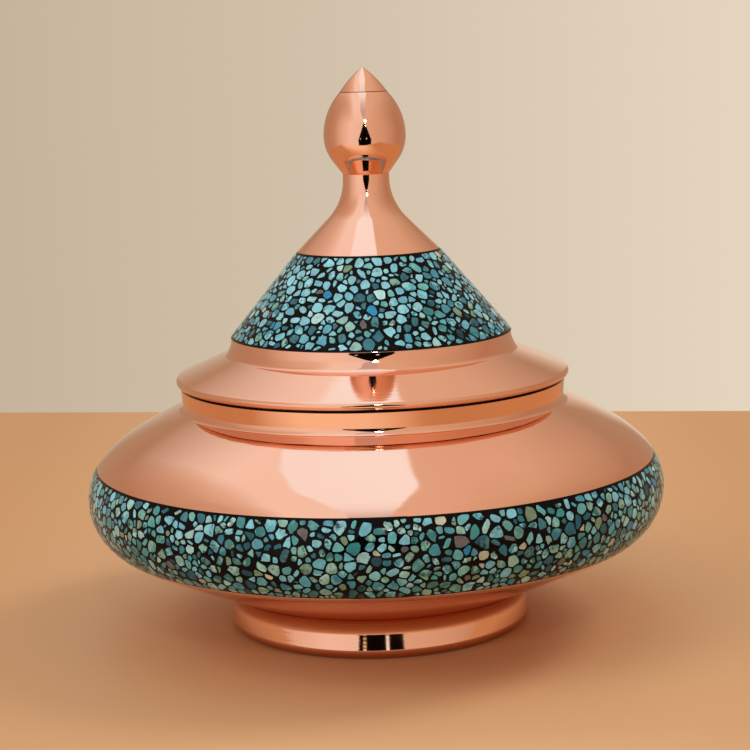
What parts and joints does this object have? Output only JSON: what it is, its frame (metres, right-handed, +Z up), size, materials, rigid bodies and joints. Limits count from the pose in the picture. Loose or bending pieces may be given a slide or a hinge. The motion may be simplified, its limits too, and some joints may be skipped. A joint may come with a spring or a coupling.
{
  "type": "covered sweets bowl",
  "caption": "Round covered bowl in polished copper on a low foot, with a conical knobbed lid that lifts off and bands of turquoise chips set in black lac.",
  "frame": {"origin": "centre of the foot, on the surface the bowl stands on", "axes": "+Z up, along the bowl's axis of turning"},
  "size_m": [0.1804, 0.1804, 0.1733],
  "materials": {
    "copper": "mirror-polished copper with faint spinning marks",
    "black_lac": "black lac, ground and polished flush",
    "stone_blue": "polished and lacquered",
    "stone_green": "polished and lacquered",
    "stone_pale": "polished and lacquered",
    "stone_dark": "polished and lacquered"
  },
  "bodies": {
    "bowl": {"bowl_lower_shell": "copper", "bowl_shoulder": "copper", "bowl_collar": "copper", "foot_ring": "copper", "belly_lower_strip": "copper", "belly_upper_strip": "copper", "belly_lac_bed": "black_lac", "belly_stones_blue": "stone_blue", "belly_stones_green": "stone_green", "belly_stones_pale": "stone_pale", "belly_stones_dark": "stone_dark"},
    "lid": {"lid_brim": "copper", "lid_skirt": "copper", "lid_cone": "copper", "lid_lower_strip": "copper", "lid_upper_strip": "copper", "lid_lac_bed": "black_lac", "lid_stones_blue": "stone_blue", "lid_stones_green": "stone_green", "lid_stones_pale": "stone_pale", "lid_stones_dark": "stone_dark", "lid_spire": "copper", "finial_bulb": "copper", "finial_tip": "copper"}
  },
  "joints": [
    {"name": "lid_lift", "type": "slide", "parent": "bowl", "child": "lid", "axis": [0, 0, 1], "range_m": [0, 0.1]}
  ]
}
